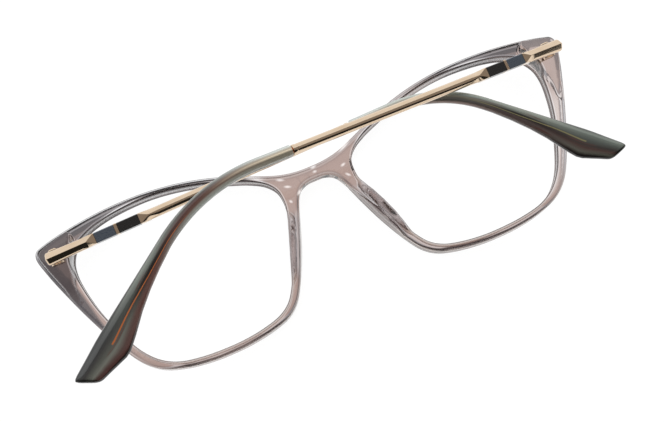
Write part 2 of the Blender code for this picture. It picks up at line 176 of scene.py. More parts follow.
def smoothLoop(points, steps):
    # closed curve through the points, knots spaced by the root of their distance
    knots = [Vector(point) * mm for point in points]
    loop = []
    for i in range(len(knots)):
        a, b, c, d = (knots[(i + k) % len(knots)] for k in (-1, 0, 1, 2))
        ta = 0.0
        tb = (b - a).length ** 0.5
        tc = tb + (c - b).length ** 0.5
        td = tc + (d - c).length ** 0.5
        for step in range(steps):
            t = tb + (tc - tb) * step / steps
            ab = a * (tb - t) / (tb - ta) + b * (t - ta) / (tb - ta)
            bc = b * (tc - t) / (tc - tb) + c * (t - tb) / (tc - tb)
            cd = c * (td - t) / (td - tc) + d * (t - tc) / (td - tc)
            abc = ab * (tc - t) / (tc - ta) + bc * (t - ta) / (tc - ta)
            bcd = bc * (td - t) / (td - tb) + cd * (t - tb) / (td - tb)
            loop.append(abc * (tc - t) / (tc - tb) + bcd * (t - tb) / (tc - tb))
    return loop


def evenLoop(loop, gap):
    # the same closed line with evenly spaced points
    lengths = [0.0]
    ends = loop + loop[:1]
    for a, b in zip(ends, ends[1:]):
        lengths.append(lengths[-1] + (b - a).length)
    count = round(lengths[-1] / gap)
    result = []
    for k in range(count):
        place = lengths[-1] * k / count
        i = bisect.bisect_right(lengths, place) - 1
        share = (place - lengths[i]) / (lengths[i + 1] - lengths[i])
        result.append(ends[i].lerp(ends[i + 1], share))
    return result


def turnsLeft(loop):
    return sum(a.x * b.y - b.x * a.y for a, b in zip(loop, loop[1:] + loop[:1])) > 0


def outward(loop):
    if not turnsLeft(loop):
        loop = loop[::-1]
    normals = []
    for before, after in zip(loop[-1:] + loop[:-1], loop[1:] + loop[:1]):
        way = (after - before).normalized()
        normals.append(Vector((way.y, -way.x)))
    return loop, normals


def shifted(loop, normals, distance):
    return [point + normal * distance for point, normal in zip(loop, normals)]


def sstep(value, low, high):
    t = min(max((value - low) / (high - low), 0.0), 1.0)
    return t * t * (3 - 2 * t)


def quarterTurn(steps):
    return [math.pi / 2 * k / steps for k in range(steps + 1)]


def finished(name, bm, matrix, material, sharp=35, weighted=True):
    # the matrix goes into the points themselves, so that the piece's box is a tight one
    bm.transform(matrix)
    bm.normal_update()
    bmesh.ops.recalc_face_normals(bm, faces=bm.faces)
    mesh = bpy.data.meshes.new(name)
    bm.to_mesh(mesh)
    bm.free()
    mesh.shade_smooth()
    mesh.set_sharp_from_angle(angle=math.radians(sharp))
    piece = bpy.data.objects.new(name, mesh)
    bpy.context.scene.collection.objects.link(piece)
    mesh.materials.append(material)
    if weighted:
        normals = piece.modifiers.new("normals", "WEIGHTED_NORMAL")
        normals.keep_sharp = True
    return piece


def joinRows(bm, rows):
    # quads between rows of vertices that each run once round
    for near, far in zip(rows, rows[1:]):
        for i in range(len(near)):
            j = (i + 1) % len(near)
            bm.faces.new((near[i], near[j], far[j], far[i]))


def loft(rings, places=None):
    # one row of vertices for each ring, quads between, capped ends
    bm = bmesh.new()
    layer = bm.verts.layers.float_vector.new("place") if places else None
    rows = []
    for number, ring in enumerate(rings):
        row = [bm.verts.new(point) for point in ring]
        if places:
            for vert, place in zip(row, places[number]):
                vert[layer] = place
        rows.append(row)
    joinRows(bm, rows)
    bm.faces.new(rows[0][::-1])
    bm.faces.new(rows[-1])
    return bm


# front: outline, openings, raised lands for the hinges and moulded nose pads, lengths in mm
frontShape = {
    "depth": 4.0, "faceCurve": 0.00095, "flat": -3.8,
    "outerRound": 0.85, "innerRound": 0.5, "roundSteps": 7,
    "grooveDepth": 0.55, "grooveHalf": 0.6, "curveSteps": 10, "pointGap": 0.4,
    "landTop": 7.4, "landRound": 0.6, "landSteps": 7, "landFade": (1.0, 13.0),
    "landGap": 0.35, "landFoot": 0.02,
    "padLean": 0.15, "padReach": 22, "padNose": 0.12, "padAcross": (-0.1, 0.95),
    # the points on its flats: across, up and gap, and how far they keep from walls and edges
    "grid": ((-70, 70), (-23, 23), 0.8), "padGrid": ((7, 19), (-13, 6), 0.4),
    "offLand": (-0.35, 0.9), "offEdge": 0.12, "frontEvery": 3, "mergeMetres": 1e-7,
}
frontHalf = [
    (0, 12.8), (4, 13.0), (8, 13.8), (14, 16.1), (22.2, 19.35), (30.5, 21.5), (40, 22.6),
    (50, 22.35), (60, 20.85), (66.3, 19.2), (68.5, 18.2), (69.1, 16.6), (68.1, 12.4),
    (65.6, 5.4), (61.9, -3.5), (57.5, -12.5), (54.6, -16.7), (51.2, -19.4), (46, -21.2),
    (40, -22.1), (35, -22.25), (30.5, -22.05), (24.5, -21.15), (19.6, -19.6), (16.6, -17.3),
    (14.3, -13.9), (10.8, -6.9), (8.0, 0.2), (5.9, 6.0), (4.4, 8.3), (2.4, 9.25), (0, 9.4),
]
openingPoints = [
    (9.6, 7.4), (10.2, 2.6), (11.8, -3.0), (14.0, -8.6), (16.7, -13.9), (18.7, -16.6),
    (21.6, -18.5), (26, -19.75), (31, -20.45), (36, -20.6), (42, -20.25), (47.2, -19.2),
    (51, -17.1), (54.2, -13.5), (57.2, -7.6), (59.8, -0.9), (61.2, 4.9), (61.75, 9.6),
    (61.3, 13.0), (59.6, 15.9), (56, 18.3), (51.2, 19.9), (45, 20.8), (39, 21.0),
    (33, 20.4), (26.5, 19.0), (20.5, 17.0), (15.4, 15.0), (12.0, 12.9), (10.1, 10.4),
]
landPoints = [
    (59.6, 19.3), (62.0, 18.8), (65.6, 17.8), (67.4, 17.0), (68.1, 15.8), (67.3, 12.4),
    (65.2, 6.2), (64.3, 3.0), (63.6, 2.1), (62.9, 2.9), (62.6, 6.5), (61.9, 9.6),
    (61.0, 12.4), (60.0, 15.6), (59.0, 17.9),
]
padRise = [(-13.0, 0.0), (-12.2, 0.5), (-10.0, 2.4), (-7.0, 4.0), (-3.5, 4.3), (0.0, 3.4),
           (2.6, 1.8), (4.4, 0.4), (5.5, 0.0)]    # height, then how far the pad stands back


def mirrored(points):
    return [(-x, z) for x, z in points]


def evenCurve(points, gap):
    return outward(evenLoop(smoothLoop(points, frontShape["curveSteps"]), gap * mm))


outline, outlineNormals = evenCurve(frontHalf + mirrored(frontHalf[-2:0:-1]), frontShape["pointGap"])
openings, openingNormals = {}, {}
for sideName, side in sides:
    knots = openingPoints if side > 0 else mirrored(openingPoints)
    openings[sideName], openingNormals[sideName] = evenCurve(knots, frontShape["pointGap"])
outlineArray = np.array(outline)
openingArrays = {name: np.array(loop) for name, loop in openings.items()}


def nearest(array, x, z):
    return float(np.sqrt(((array - (x, z)) ** 2).sum(1).min()))


def insideOf(points, polygon):
    # even-odd test for many points at once
    xs, zs = points[:, 0], points[:, 1]
    inside = np.zeros(len(points), bool)
    for (ax, az), (bx, bz) in zip(polygon, np.roll(polygon, -1, axis=0)):
        crosses = (az > zs) != (bz > zs)
        if az != bz:
            inside ^= crosses & (xs < (bx - ax) * (zs - az) / (bz - az) + ax)
    return inside


def padHeight(x, z):
    # the pad rises from the nose side of the rim to its lens side
    rise = float(np.interp(z / mm, *zip(*padRise))) * mm
    if rise <= 0 or abs(x) > frontShape["padReach"] * mm:
        return 0.0
    toNose = nearest(outlineArray, x, z)
    toLens = nearest(openingArrays["left" if x > 0 else "right"], x, z)
    across = toNose / (toNose + toLens)
    least = frontShape["padNose"]
    return rise * (least + (1 - least) * sstep(across, *frontShape["padAcross"]))


landLoop, landNormals = evenCurve(landPoints, frontShape["landGap"])
landArray = np.array(landLoop)
landSpans = np.roll(landArray, -1, axis=0) - landArray
landLow, landHigh = landArray.min(0), landArray.max(0)


def landDepth(x, z):
    # how far inside the land's outline a spot lies
    spot = np.array((abs(x), z))
    if (spot < landLow).any() or (spot > landHigh).any():
        return -1.0
    away = spot - landArray
    share = np.clip((away * landSpans).sum(1) / (landSpans ** 2).sum(1), 0, 1)
    gaps = ((away - landSpans * share[:, None]) ** 2).sum(1)
    inside = insideOf(spot[None], landArray)[0]
    return float(np.sqrt(gaps.min())) * (1 if inside else -1)


def curved(x):                   # how far back the face curve takes the front
    return frontShape["faceCurve"] * x * x / mm


def landHeight(x, z):
    # the land stands on a wall with a quarter round, and runs out towards its lower end
    deep = landDepth(x, z) / (frontShape["landRound"] * mm)
    if deep <= 0:
        return 0.0
    share = math.sqrt(1 - (1 - min(deep, 1.0)) ** 2) * sstep(z / mm, *frontShape["landFade"])
    return max(frontShape["landTop"] * mm - curved(x), 0.0) * share


def rearFace(spot):
    x, z = spot
    pad = padHeight(x, z)
    lean = frontShape["padLean"] * pad * math.copysign(1, x)
    return Vector((x + lean, curved(x) + pad, z))


def rearSpot(spot):
    return rearFace(spot) + Vector((0, landHeight(*spot[:2]), 0))


def frontSpot(spot, above=0.0):
    x, z = spot
    face = curved(x) - frontShape["depth"] * mm
    return Vector((x, max(face, frontShape["flat"] * mm) + above, z))


def rearRings(loop, normals, inwards, radius):
    # from the flat of the rear face round its edge; inwards is the way into the material
    edge = shifted(loop, normals, inwards * radius)
    rings = []
    for turn in quarterTurn(frontShape["roundSteps"]):
        inset = radius * (1 - math.sin(turn))
        below = radius * (1 - math.cos(turn))
        spots = shifted(loop, normals, inwards * inset)
        ring = []
        for spot, flat in zip(spots, edge):
            high = rearFace(flat)
            back = high.y - below + landHeight(*spot)
            ring.append((Vector((spot.x + high.x - flat.x, back, spot.y)), spot))
        rings.append(ring)
    return rings


def frontRings(loop, normals, inwards, radius):
    rings = []
    for turn in quarterTurn(frontShape["roundSteps"])[::-1]:
        spots = shifted(loop, normals, inwards * radius * (1 - math.sin(turn)))
        rings.append([(frontSpot(spot, radius * (1 - math.cos(turn))), spot) for spot in spots])
    return rings


def grooveRings(loop, normals):
    middle = -frontShape["depth"] / 2 * mm
    rings = []
    for back, deep in ((1, 0), (0, 1), (-1, 0)):
        spots = shifted(loop, normals, deep * frontShape["grooveDepth"] * mm)
        level = middle + back * frontShape["grooveHalf"] * mm
        rings.append([(Vector((spot.x, curved(spot.x) + level, spot.y)), spot) for spot in spots])
    return rings


def stepLoops():
    # loops of points from the foot of the land's wall up to its flat
    foot = frontShape["landFoot"] * mm
    spots = []
    for turn in quarterTurn(frontShape["landSteps"]):
        deep = frontShape["landRound"] * mm * (1 - math.cos(turn))
        loop = np.array(shifted(landLoop, landNormals, -deep if turn else foot))
        spots += [loop, loop * (-1, 1)]
    return np.vstack(spots)


def spread(across, up, gap):
    return [(x, z) for x in np.arange(*across, gap) for z in np.arange(*up, gap)]


def innerPoints(outer, holes):
    # a grid over the front, closer over the pads, with the loops of the land's wall
    grid = spread(*frontShape["grid"])
    for side in (-1, 1):
        grid += [(side * x, z) for x, z in spread(*frontShape["padGrid"])]
    low, high = frontShape["offLand"]
    grid = [(x, z) for x, z in grid if not low < landDepth(x * mm, z * mm) / mm < high]
    points = np.vstack([np.array(grid) * mm, stepLoops()])
    keep = insideOf(points, np.array(outer))
    for hole in holes:
        keep &= ~insideOf(points, np.array(hole))
    points = points[keep]
    edges = np.vstack([np.array(outer)] + [np.array(hole) for hole in holes])
    far = [nearest(edges, *point) > frontShape["offEdge"] * mm for point in points]
    return points[np.array(far)]


def rimPlace(spot):
    # distances in mm to the outline and to the opening, and how far inside the land
    x, z = spot[:2]
    opening = openingArrays["left" if x > 0 else "right"]
    return Vector((nearest(outlineArray, x, z), nearest(opening, x, z),
                   max(landDepth(x, z), 0.0))) / mm


def fillCap(addVert, bm, loops, rows, lift, extra):
    # triangles between the outer loop and the holes, joined to the rings' own vertices
    spots = []
    faces = []
    verts = []
    for loop, row in zip(loops, rows):
        faces.append(list(range(len(spots), len(spots) + len(loop))))
        spots += [tuple(point) for point in loop]
        verts += row
    spots += [tuple(point) for point in extra]
    places, _, triangles, sources, _, owners = geometry.delaunay_2d_cdt(
        [Vector(spot) for spot in spots], [], faces, 1, frontShape["mergeMetres"], True)
    corner = {}
    for number, place in enumerate(places):
        source = sources[number][0] if sources[number] else None
        if source is not None and source < len(verts):
            corner[number] = verts[source]
    for triangle, owner in zip(triangles, owners):
        if list(owner) != [0]:
            continue
        for number in triangle:
            if number not in corner:
                corner[number] = addVert(lift(places[number]), places[number])
        bm.faces.new([corner[number] for number in triangle])


def frontMesh():
    bm = bmesh.new()
    layer = bm.verts.layers.float_vector.new("rim")

    def addVert(point, spot):
        vert = bm.verts.new(point)
        vert[layer] = rimPlace(spot)
        return vert

    radius = frontShape["outerRound"] * mm
    small = frontShape["innerRound"] * mm
    stacks = [rearRings(outline, outlineNormals, -1, radius)
              + frontRings(outline, outlineNormals, -1, radius)]
    for sideName, side in sides:
        loop, normals = openings[sideName], openingNormals[sideName]
        stacks.append(rearRings(loop, normals, 1, small) + grooveRings(loop, normals)
                      + frontRings(loop, normals, 1, small))
    rearRows, frontRows = [], []
    for stack in stacks:
        rows = [[addVert(point, spot) for point, spot in ring] for ring in stack]
        joinRows(bm, rows)
        rearRows.append(rows[0])
        frontRows.append(rows[-1])
    loops = [shifted(outline, outlineNormals, -radius)]
    loops += [shifted(openings[name], openingNormals[name], small) for name, side in sides]
    extra = innerPoints(loops[0], loops[1:])
    fillCap(addVert, bm, loops, rearRows, rearSpot, extra)
    fillCap(addVert, bm, loops, frontRows, frontSpot, extra[::frontShape["frontEvery"]])
    return bm


acetateLook = {
    "tint": colour(170, 146, 139), "pale": colour(186, 164, 156), "roughness": 0.03, "ior": 1.49,
    # painted shade: the grey of the bands near the ends; the lands are painted darker at positive x
    # and lighter at negative x, as light and shade
    "paintedShadeGrey": colour(84, 82, 86), "landPaintedShade": colour(84, 76, 77), "landPaintedLight": colour(196, 178, 172),
    "cloudScale": 60.0, "patchScale": 45.0, "patches": (0.25, 0.6),
    # painted lines of highlight and shade along the edges, for the light and dark that their
    # polished rounds show, as a share of edgeReach mm from the edge
    "edgeReach": 3,
    "upperEdge": tones((0.0, 58, 54, 56), (0.07, 78, 72, 74), (0.10, 242, 242, 244),
                       (0.17, 236, 236, 238), (0.21, 110, 106, 110), (0.28, 130, 120, 120),
                       (0.36, 176, 152, 145)),
    "lowerEdge": tones((0.0, 160, 144, 134), (0.07, 140, 126, 120), (0.10, 72, 68, 72),
                       (0.16, 84, 78, 80), (0.20, 150, 130, 124), (0.30, 174, 150, 143)),
    "innerEdge": tones((0.0, 44, 36, 36), (0.07, 60, 50, 49), (0.095, 248, 248, 250),
                       (0.16, 244, 242, 244), (0.20, 170, 146, 139)),
    # where a tone comes in or goes out, in mm across, out from the middle, down or back
    "spans": {
        "paintedLightAcross": (46, 56), "paintedLightDown": (-12, -2), "lower": (-13, -6), "ends": (52, 58),
        "pastBridge": (9, 20), "topPaintedShade": (22, 40), "topPaintedShadeWidens": (34, 57),
        "endPaintedShade": (48, 54), "endPaintedShadeTop": (-16, -12), "endPaintedShadeNarrows": (-12, 14),
        "leftHalf": (-1, 1), "padTop": (-5, -2), "padFoot": (8, 12), "pastPad": (17, 19),
        "rearFace": (2.6, 3.3),
    },
    # the same in mm from the outline, from an opening or from the land's edge
    "near": {
        "outer": (0.9, 1.2), "inner": (0.5, 0.62), "land": (0.3, 0.7), "topPaintedShade": (0.46, 0.64),
        "topPaintedShadeEdge": (-0.12, 0.12), "endPaintedShadeEdge": (-0.15, 0.15),
    },
    "topPaintedShadeWidth": (0.8, 1.9), "endPaintedShadeWidth": 3.2,
    # how strong each tone is, and how much of the edges' strength doesn't vary
    "shares": {
        "paintedPaleLight": 0.6, "bridge": 0.6, "topPaintedShade": 0.9, "endPaintedShade": 0.85, "land": 0.85, "pad": 0.85,
        "gleam": 0.85, "outerSteady": 0.5, "innerSteady": 0.55,
    },
    # painted soft highlights on the bridge, which also glow faintly: across, up, half length and
    # turn, in mm and degrees
    "gleams": [(8.3, 12.3, 1.5, 24), (7.3, 10.0, 1.3, 24), (8.0, 6.2, 0.7, 62), (5.1, 7.7, 1.4, -38),
               (-0.5, 12.1, 1.1, -4), (-0.4, 10.9, 0.8, 0), (-9.6, 13.9, 2.8, -24),
               (-7.5, 9.7, 1.0, -17), (-7.6, 6.9, 1.1, 46), (14.0, 15.2, 3.4, 25)],
    # the gleams' width, depth and glow, and the pale colour of a painted patch of light at one end
    "gleamWidth": 0.5, "gleamDepth": 1000.0, "gleamStrength": 0.3, "paintedPaleLight": colour(236, 228, 225),
    # tones across a nose pad, from the nose to the lens: its tint with painted lines of highlight
    # and shade
    "pad": tones((0.0, 128, 114, 110), (0.08, 226, 222, 222), (0.15, 96, 86, 86),
                 (0.22, 238, 238, 240), (0.36, 226, 226, 230), (0.42, 74, 66, 70),
                 (0.52, 120, 106, 106), (0.7, 164, 148, 146), (0.86, 104, 92, 92),
                 (0.94, 196, 188, 188), (1.0, 64, 54, 54)),
}


def acetateFinish():
    # tinted clear plastic with painted lines of light and shade that follow its polished edges,
    # painted shade bands and painted highlights
    look, shares = acetateLook, acetateLook["shares"]
    material, make = newFinish("front_acetate")
    spot, rim = make.spot(), make.kept("rim")
    toOuter, toInner, inLand = (make.apart(rim, axis) for axis in range(3))
    across, down = make.apart(spot, 0), make.apart(spot, 1)
    out = abs(across)
    cloud = make.noise(spot, look["cloudScale"], Detail=2.0)
    patchy = make.smooth(make.noise(spot, look["patchScale"]), *look["patches"])

    def fade(value, name):       # from 0 to 1 over a span of the front
        low, high = look["spans"][name]
        return make.smooth(value, low * mm, high * mm)

    def near(value, name):
        return make.smooth(value, *look["near"][name])

    def uneven(steady):
        return steady + (1 - steady) * patchy

    tint = make.blend(cloud, look["tint"], look["pale"])
    # painted light: paler towards the lower part of the end at negative x
    paintedPaleLight = fade(across * -1, "paintedLightAcross") * fade(down, "paintedLightDown")
    tint = make.blend(paintedPaleLight * shares["paintedPaleLight"], tint, look["paintedPaleLight"])
    # painted lines of highlight and shade along the outline, one set for the upper edge and the ends
    # and one for the lower edge, weaker at the bridge
    upper = 1 - fade(down, "lower")
    darkEdge = upper + (1 - upper) * fade(out, "ends")
    edgeLightAndShade = make.blend(darkEdge, make.ramp(toOuter / look["edgeReach"], look["lowerEdge"]),
                          make.ramp(toOuter / look["edgeReach"], look["upperEdge"]))
    edged = (1 - near(toOuter, "outer")) * uneven(shares["outerSteady"])
    weaker = shares["bridge"] * upper * (1 - fade(out, "pastBridge"))
    tint = make.blend(edged * (1 - weaker), tint, edgeLightAndShade)
    # painted shade: a grey band inside the upper edge, widening towards both ends
    width, wider = look["topPaintedShadeWidth"]
    topShadeBand = near(width + wider * fade(out, "topPaintedShadeWidens") - toOuter, "topPaintedShadeEdge")
    topShadeBand = topShadeBand * near(toOuter, "topPaintedShade") * upper * fade(out, "topPaintedShade")
    tint = make.blend(topShadeBand * shares["topPaintedShade"], tint, look["paintedShadeGrey"])
    # painted shade: a grey band along the outline at the end at positive x, narrowing downwards
    taper = look["endPaintedShadeWidth"] * (1 - fade(down, "endPaintedShadeNarrows"))
    endShadeBand = near(taper - toOuter, "endPaintedShadeEdge") * fade(down, "endPaintedShadeTop")
    endShadeBand = endShadeBand * fade(across, "endPaintedShade")
    tint = make.blend(endShadeBand * shares["endPaintedShade"], tint, look["paintedShadeGrey"])
    # painted shade on the land at positive x and painted light on the land at negative x
    land = make.blend(fade(across, "leftHalf"), look["landPaintedLight"], look["landPaintedShade"])
    tint = make.blend(near(inLand, "land") * shares["land"], tint, land)
    # painted lines of highlight and shade along the openings' edges
    tint = make.blend((1 - near(toInner, "inner")) * uneven(shares["innerSteady"]), tint,
                      make.ramp(toInner / look["edgeReach"], look["innerEdge"]))
    # painted lines of highlight and shade across the nose pads
    pad = fade(down, "padTop") * (1 - fade(down, "padFoot")) * (1 - fade(out, "pastPad"))
    padLightAndShade = make.ramp(toOuter / (toOuter + toInner), look["pad"])
    tint = make.blend(pad * shares["pad"], tint, padLightAndShade)
    # painted highlights: the listed spots on the rear face turn whiter and glow faintly
    lit = 0.0
    for x, z, half, turn in look["gleams"]:
        # the mapping moves the spot to the middle and makes its outline a circle
        size = Vector((half, look["gleamWidth"], look["gleamDepth"])) * mm
        local = make.node("ShaderNodeMapping", {"vector_type": "TEXTURE"}, {
            0: spot, 1: frontMatrix @ Vector((x * mm, 0, z * mm)), 2: (0, 0, -math.radians(turn)),
            3: size})
        reach = make.node("ShaderNodeVectorMath", {"operation": "LENGTH"}, {0: local}, 1)
        lit = lit + (1 - make.smooth(reach, 0.0, 1.0))
    lit = lit * fade(make.apart(spot, 2), "rearFace")
    shader = make.node("ShaderNodeBsdfPrincipled", None, {
        "Base Color": make.blend(lit * shares["gleam"], tint, (1, 1, 1, 1)),
        "Roughness": look["roughness"], "IOR": look["ior"],
        "Emission Color": make.blend(lit, (0, 0, 0, 1), (1, 1, 1, 1)),
        "Emission Strength": look["gleamStrength"], "Transmission Weight": 1.0})
    make.surface(shader)
    return material


front = finished("front", frontMesh(), frontMatrix, acetateFinish(), 50)
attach(front, "front")
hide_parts("front_frame", "nose_pad_left", "nose_pad_right")
print("front built with", len(front.data.polygons), "faces")


# lenses
lensShape = {"gap": 0.35, "edge": 0.6, "dome": 1.3, "rings": 9, "every": 3}


def lensMesh(sideName):
    opening, normals = openings[sideName], openingNormals[sideName]
    loop = shifted(opening, normals, -lensShape["gap"] * mm)[::lensShape["every"]]
    outwards = (frontShape["grooveDepth"] - lensShape["gap"]) * mm
    ridge = shifted(opening, normals, outwards)[::lensShape["every"]]
    middle = sum(loop, Vector((0.0, 0.0))) / len(loop)

    def ring(spots, scale, back):
        dome = lensShape["dome"] * mm * (1 - scale * scale)
        result = []
        for spot in spots:
            x, z = middle + (spot - middle) * scale
            face = curved(x) - frontShape["depth"] / 2 * mm
            result.append(Vector((x, face + back * lensShape["edge"] * mm - dome, z)))
        return result

    scales = [k / lensShape["rings"] for k in range(1, lensShape["rings"] + 1)]
    rings = [ring(loop, scale, -1) for scale in scales]
    rings.append(ring(ridge, 1.0, 0))
    rings += [ring(loop, scale, 1) for scale in scales[::-1]]
    return loft(rings)


lensLook = {
    "film": ((0.97, 0.98, 0.985, 1), (0.985, 0.985, 0.98, 1)), "filmScale": 30.0, "ior": 1.5,
    "slant": (0.45, 0.95),
}


def lensFinish():
    # a coated lens: clear when looked through, with a gleam where it is seen at a slant
    material, make = newFinish("lens")
    film = make.noise(make.spot(), lensLook["filmScale"])
    gleam = make.node("ShaderNodeBsdfPrincipled", None, {
        "Base Color": make.blend(film, *lensLook["film"]),
        "Roughness": 0.0, "IOR": lensLook["ior"], "Transmission Weight": 1.0})
    clear = make.node("ShaderNodeBsdfTransparent")
    slant = make.node("ShaderNodeLayerWeight", None, {"Blend": 0.5}, 1)
    mixed = make.node("ShaderNodeMixShader", None, {
        0: make.smooth(slant, *lensLook["slant"]), 1: clear, 2: gleam})
    make.surface(mixed)
    return material


lensMaterial = lensFinish()
for sideName, side in sides:
    lens = finished(f"clear_lens_{sideName}", lensMesh(sideName), frontMatrix, lensMaterial, 20)
    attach(lens, "front")
    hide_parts(f"lens_{sideName}")
print("lenses built")


# arms: u runs along the arm from the hinge axis, v to its outer side, w up, in mm
rodShape = {
    "offset": 3.8, "start": -1.45, "hingeTall": 3.0, "neckTall": 2.7, "tall": 2.5, "thick": 2.6,
    "chamfer": 0.12, "ridge": 0.95, "crest": 0.03, "facetStart": 8.5, "boxStart": 10.5,
    "inlayStart": 10.8, "dividerMid": 16.1, "dividerHalf": 0.35, "inlayEnd": 21.7, "boxEnd": 22.0,
    "facetEnd": 24.3, "roundStart": 26.3, "slim": 2.4, "tail": 2.2, "end": 74.4, "steps": 8,
    "corner": 0.1, "softCorners": (0.08, 0.55, 0.5, 0.5, 0.55, 0.08), "sharpen": 1.2,
    "cornerShare": 0.45, "cornerSteps": 6,
    # the seats of the inlays, the bar that stands proud between them, and the inlays in them
    "recess": 0.5, "seam": 0.03, "proud": 0.03, "dividerRound": 0.06,
    "inlayGap": 0.04, "inlayRound": 0.05, "inlayShrink": (0.08, 0.02),
    # how round the rod is where its facets end
    "rounded": 0.5,
    # the ends: how far in each ring lies, then how much it shrinks or how wide it is
    "startRings": ((0.0, 0.6), (0.06, 0.4), (0.17, 0.22), (0.34, 0.08), (0.6, 0.0)),
    "tailRings": ((1.3, 0.9), (1.2, 0.9), (1.1, 1.0), (0.9, 1.05), (0.6, 1.06), (0.3, 1.05),
                  (0.1, 0.95)),
    "tailLength": 1.4,
}


def roundedRing(u, corners, radius):
    # closed section at u through rounded corners given as (v, w), one radius or one for each
    ring = []
    count = len(corners)
    radii = radius if isinstance(radius, tuple) else (radius,) * count
    for i in range(count):
        before, here, after = (Vector(corners[(i + k) % count]) for k in (-1, 0, 1))
        back = before - here
        ahead = after - here
        most = rodShape["cornerShare"]
        reach = min(radii[i], most * back.length, most * ahead.length)
        start = here + back.normalized() * reach
        end = here + ahead.normalized() * reach
        for k in range(rodShape["cornerSteps"]):
            t = k / (rodShape["cornerSteps"] - 1)
            spot = start * (1 - t) ** 2 + here * 2 * t * (1 - t) + end * t * t
            ring.append((u, spot.x, spot.y))
    return ring


def barRing(u, ridge, tall=None, radius=None, shrink=0.0):
    # ridge is 0 for a plain box and 1 where its outer face has become one long ridge
    half = (tall or rodShape["tall"]) / 2 - shrink
    outer = rodShape["thick"] / 2 - shrink
    chamfer = rodShape["chamfer"]
    rise = (half - chamfer) * (1 - ridge) + rodShape["crest"] * ridge
    shoulder = (outer - chamfer) * (1 - ridge) + (outer - rodShape["ridge"]) * ridge
    corners = [(outer, rise), (shoulder, half), (-outer, half), (-outer, -half),
               (shoulder, -half), (outer, -rise)]
    return roundedRing(u, corners, radius or rodShape["corner"])


def roundRing(u, radius, like):
    # a circle with as many points as the ring that it joins
    turns = [2 * math.pi * (k + 0.5) / len(like) for k in range(len(like))]
    return [(u, radius * math.cos(turn), radius * math.sin(turn)) for turn in turns]


def mix(first, second, share):
    return first + (second - first) * share


def mixRing(first, second, share):
    return [tuple(mix(a, b, share) for a, b in zip(p, q)) for p, q in zip(first, second)]


def armPoint(side, u, v, w):
    return Vector((-side * u, rodShape["offset"] + v, w)) * mm


def armLoft(side, rings):
    # rings of (u, v, w), which stay with the points as their place on the arm
    points = [[armPoint(side, *spot) for spot in ring] for ring in rings]
    return loft(points, [[Vector(spot) for spot in ring] for ring in rings])


def rodRings():
    box = rodShape
    deep, seam, soft = box["recess"], box["seam"], box["softCorners"]
    stages = [k / box["steps"] for k in range(box["steps"] + 1)]
    rings = [barRing(box["start"] + out, 1, box["hingeTall"], soft, shrink)
             for out, shrink in box["startRings"]]
    rings.append(barRing(box["facetStart"] - box["sharpen"], 1, box["neckTall"], soft))
    rings += [barRing(mix(box["facetStart"], box["boxStart"], share), 1 - share,
                      mix(box["neckTall"], box["tall"], share)) for share in stages]

    def seatEnd(u, way):
        return [barRing(u + way * seam, 0), barRing(u, 0, shrink=seam), barRing(u, 0, shrink=deep)]

    rings += seatEnd(box["inlayStart"], -1)
    for mid in (-1, 1):
        edge = box["dividerMid"] + mid * box["dividerHalf"]
        step = [barRing(edge, 0, shrink=deep), barRing(edge, 0),
                barRing(edge - mid * box["dividerRound"], 0, shrink=-box["proud"])]
        rings += step if mid < 0 else step[::-1]
    rings += seatEnd(box["inlayEnd"], 1)[::-1]
    for share in stages:
        u = mix(box["boxEnd"], box["facetEnd"], share)
        ring = barRing(u, share)
        turned = share ** 3 * box["rounded"]
        rings.append(mixRing(ring, roundRing(u, box["slim"] / 2, ring), turned))
    last = barRing(0, 1)
    for share in (0.25, 0.5, 0.75):
        u = mix(box["facetEnd"], box["roundStart"], share)
        turned = mix(box["rounded"], 1, share)
        rings.append(mixRing([(u, v, w) for _, v, w in last],
                             roundRing(u, box["slim"] / 2, last), turned))
    for share in stages:
        u = mix(box["roundStart"], box["end"] - box["tailLength"], share)
        rings.append(roundRing(u, mix(box["slim"], box["tail"], share) / 2, last))
    for out, grow in box["tailRings"]:
        rings.append(roundRing(box["end"] - out, box["tail"] / 2 * grow, last))
    return rings


goldLook = {
    "colour": colour(228, 208, 184), "deep": colour(212, 188, 160), "roughness": 0.12,
    "brushStretch": (0.15, 1.0, 1.0), "brushScale": 3.0, "brushed": 0.08, "wearScale": 0.3,
}


def goldFinish(source):
    # brushed along the arm where the piece keeps its place, and round the hinges elsewhere
    material, make = newFinish("pale_gold_" + source)
    if source == "place":
        spot = make.kept("place")
    else:
        spot = make.node("ShaderNodeVectorMath", {"operation": "SCALE"}, {0: make.spot(), 3: 1 / mm})
    stretched = make.node("ShaderNodeMapping", None, {0: spot, 3: goldLook["brushStretch"]})
    brushed = make.noise(stretched, goldLook["brushScale"], Detail=3.0)
    wear = make.noise(spot, goldLook["wearScale"])
    shader = make.node("ShaderNodeBsdfPrincipled", None, {
        "Base Color": make.blend(wear, goldLook["colour"], goldLook["deep"]), "Metallic": 1.0,
        "Roughness": goldLook["roughness"] + goldLook["brushed"] * (brushed - 0.5)})
    make.surface(shader)
    return material


inlayLook = {
    # each enamel's own colour, then the lighter colour of a painted highlight along its upper edge
    "blue": {"colour": colour(66, 74, 84), "edge": colour(112, 120, 130)},
    "black": {"colour": colour(24, 24, 24), "edge": colour(84, 84, 84)},
    "roughness": 0.28, "speckleScale": 2.5, "speckled": 0.1, "rim": (0.95, 1.2), "upperHighlightShare": 0.8,
    "coat": 0.3, "coatRoughness": 0.1,
}


